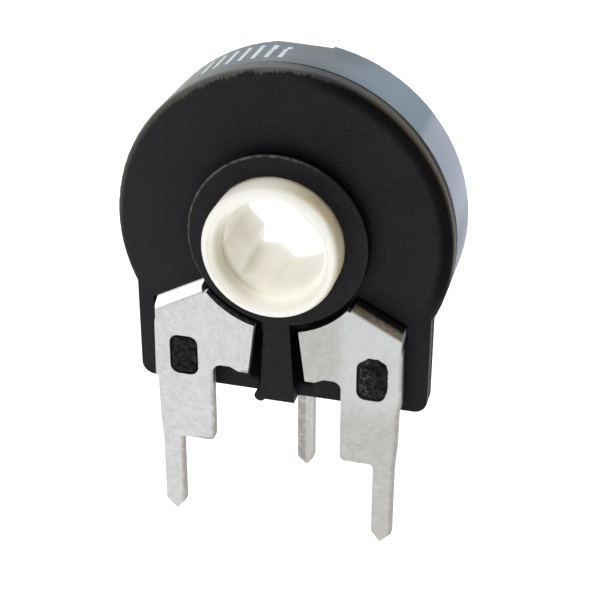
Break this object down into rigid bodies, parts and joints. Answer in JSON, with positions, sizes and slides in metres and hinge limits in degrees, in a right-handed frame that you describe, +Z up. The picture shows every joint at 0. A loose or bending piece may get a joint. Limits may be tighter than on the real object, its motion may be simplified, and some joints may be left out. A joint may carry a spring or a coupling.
{
  "type": "trimmer potentiometer",
  "caption": "Upright through-hole trimmer potentiometer with a round black front plate, a grey rear cup, a hollow white rotor with a shaft socket, and flat sheet-metal board pins.",
  "frame": {"origin": "on the circuit board's top surface, in the middle plane of the two outer pins' sheet, below the turning axis", "axes": "+Z up from the board, +Y from the front plate to the rear along the turning axis, +X to the right seen from the front"},
  "size_m": [0.015, 0.0069, 0.0222],
  "materials": {
    "black_plastic": "fine matt moulded surface",
    "grey_plastic": "matt moulded surface, grey-blue",
    "white_plastic": "off-white, slightly glossy",
    "tinned_metal": "matt tin plating",
    "wiper_metal": "bare spring bronze",
    "board": "brown paper laminate",
    "carbon_film": "printed carbon",
    "silver_film": "printed silver"
  },
  "bodies": {
    "housing": {"front_housing": "black_plastic", "rear_housing": "grey_plastic", "track_board": "board", "resistive_track": "carbon_film", "track_end_pads": "silver_film", "terminal_left": "tinned_metal", "terminal_right": "tinned_metal", "terminal_middle": "tinned_metal"},
    "rotor": {"rotor": "white_plastic", "wiper_spring": "wiper_metal"}
  },
  "joints": [
    {"name": "rotor_turn", "type": "hinge", "parent": "housing", "child": "rotor", "pos_m": [0, 0, 0.0105], "axis": [0, 1, 0], "range_deg": [0, 268]}
  ]
}
